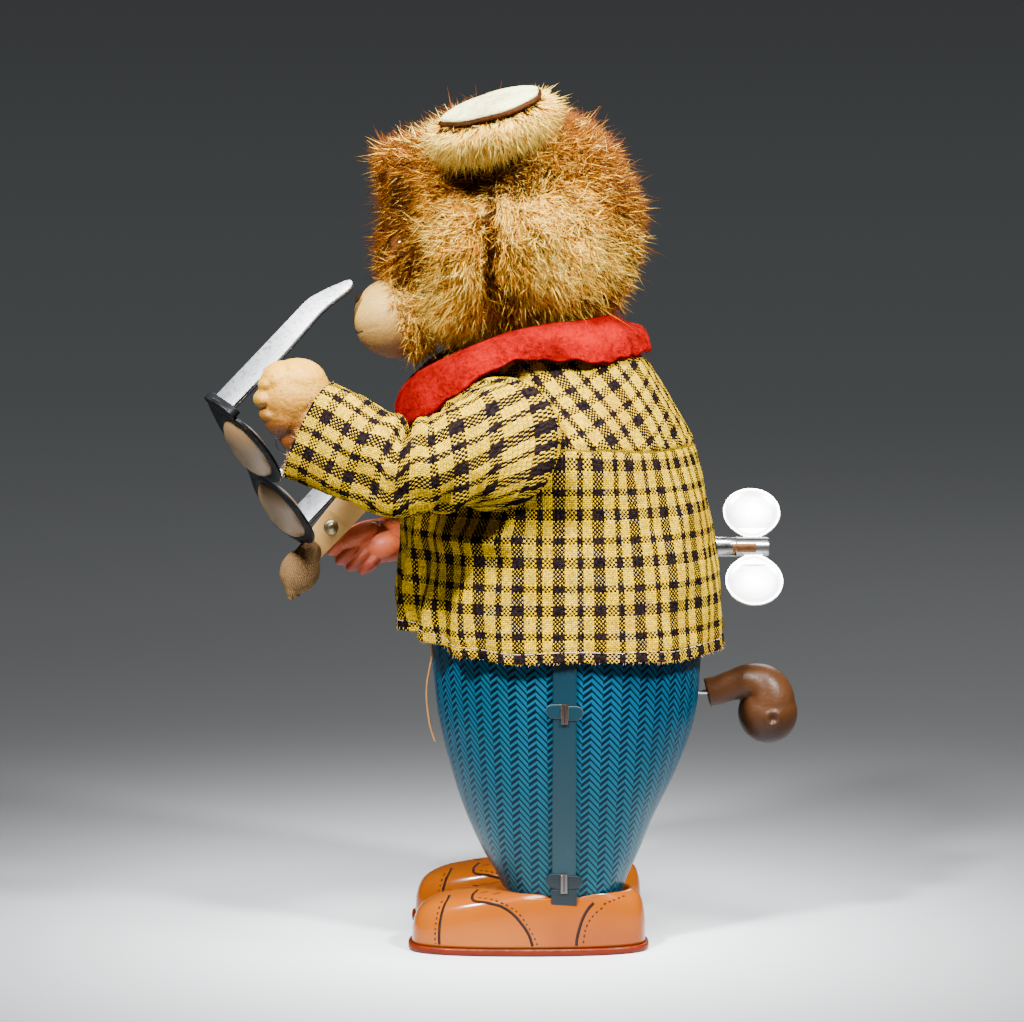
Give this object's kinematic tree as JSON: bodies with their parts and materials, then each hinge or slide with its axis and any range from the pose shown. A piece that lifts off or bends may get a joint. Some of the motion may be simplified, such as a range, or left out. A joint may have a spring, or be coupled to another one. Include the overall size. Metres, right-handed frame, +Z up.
{
  "type": "wind-up tin toy",
  "caption": "Wind-up tin toy bear in a cloth jacket, with a plush head, that polishes its spectacles; clockwork in the body, key at the back.",
  "frame": {"origin": "on the floor, under the middle of the whole toy's box", "axes": "+Z up, the toy faces -Y, its left side is +X"},
  "size_m": [0.1174, 0.1601, 0.2338],
  "materials": {
    "litho_blue": "gloss",
    "litho_tan": "gloss",
    "sole_red": "satin",
    "tin_plate": "satin",
    "steel": "satin",
    "brass": "satin",
    "key_tin": "gloss",
    "plaid_cotton": "matte",
    "red_felt": "matte",
    "gold_plush": "matte",
    "cream_felt": "matte",
    "orange_thread": "matte",
    "cream_vinyl": "satin",
    "dark_vinyl": "gloss",
    "pale_hand_vinyl": "satin",
    "red_hand_vinyl": "satin",
    "brown_vinyl": "satin",
    "black_tin": "satin",
    "cream_lens": "satin"
  },
  "bodies": {
    "root": {"left_sole": "sole_red", "right_sole": "sole_red", "left_shoe": "litho_tan", "right_shoe": "litho_tan", "body_front": "litho_blue", "body_back": "litho_blue", "left_seam_strip": "litho_blue", "right_seam_strip": "litho_blue", "left_upper_tab": "litho_blue", "left_lower_tab": "litho_blue", "right_upper_tab": "litho_blue", "right_lower_tab": "litho_blue", "jacket": "plaid_cotton", "collar": "red_felt", "hem_thread": "orange_thread", "motor_front_plate": "tin_plate", "motor_rear_plate": "tin_plate", "motor_pillar_1": "steel", "motor_pillar_2": "steel", "motor_pillar_3": "steel", "mainspring": "steel", "neck_post": "steel", "tail_wire": "steel"},
    "key": {"winding_key": "key_tin", "winding_arbor": "steel", "great_wheel": "brass", "ratchet_wheel": "steel"},
    "click": {"click": "steel"},
    "second": {"second_arbor": "steel", "second_wheel": "brass", "arm_cam": "steel"},
    "governor": {"governor_arbor": "steel", "governor_wheel": "brass"},
    "arms": {"shoulder_shaft": "steel", "left_arm": "steel", "right_arm": "steel", "rocker_lever": "steel", "left_hand": "pale_hand_vinyl", "left_sleeve": "plaid_cotton", "right_sleeve": "plaid_cotton", "spectacle_frame": "black_tin", "left_lens": "cream_lens", "right_lens": "cream_lens", "left_temple": "tin_plate", "right_temple": "tin_plate"},
    "right_hand": {"right_hand": "red_hand_vinyl", "polishing_cloth": "cream_felt", "cloth_rivet": "brass"},
    "head": {"head_shell": "tin_plate", "head_plush": "gold_plush", "muzzle": "cream_vinyl", "nose": "dark_vinyl", "left_eye": "dark_vinyl", "right_eye": "dark_vinyl", "left_ear_fur": "gold_plush", "right_ear_fur": "gold_plush", "left_ear_felt": "cream_felt", "right_ear_felt": "cream_felt", "neck_pin": "steel"},
    "tail": {"tail": "brown_vinyl"}
  },
  "joints": [
    {"name": "key_spin", "type": "hinge", "parent": "root", "child": "key", "pos_m": [0, 0.0155, 0.1077], "axis": [0, 1, 0], "continuous": true},
    {"name": "click_lift", "type": "hinge", "parent": "key", "child": "click", "pos_m": [-0.0084, 0.0227, 0.1079], "axis": [0, -1, 0], "range_deg": [0, 10], "stiffness_Nm_per_rad": 0.0004, "springref_deg": -5.73},
    {"name": "second_spin", "type": "hinge", "parent": "root", "child": "second", "pos_m": [0, 0.0155, 0.12285], "axis": [0, 1, 0], "continuous": true},
    {"name": "governor_spin", "type": "hinge", "parent": "root", "child": "governor", "pos_m": [0.01215, 0.0155, 0.12285], "axis": [0, 1, 0], "continuous": true},
    {"name": "arms_rock", "type": "hinge", "parent": "root", "child": "arms", "pos_m": [0, 0.0102, 0.1367], "axis": [1, 0, 0], "range_deg": [0, 12]},
    {"name": "right_hand_wipe", "type": "hinge", "parent": "arms", "child": "right_hand", "pos_m": [-0.0355, -0.0325, 0.107], "axis": [-0.3423, 0.6548, 0.6738], "range_deg": [-6, 7]},
    {"name": "head_nod", "type": "hinge", "parent": "root", "child": "head", "pos_m": [0, 0.0035, 0.16], "axis": [1, 0, 0], "range_deg": [-4, 5]},
    {"name": "tail_turn", "type": "hinge", "parent": "root", "child": "tail", "pos_m": [0, 0.0575, 0.0674], "axis": [0, 1, 0], "range_deg": [-25, 25]}
  ],
  "couplings": [
    {"joint": "second_spin", "follows": "key_spin", "ratio": -4},
    {"joint": "governor_spin", "follows": "key_spin", "ratio": 12}
  ]
}
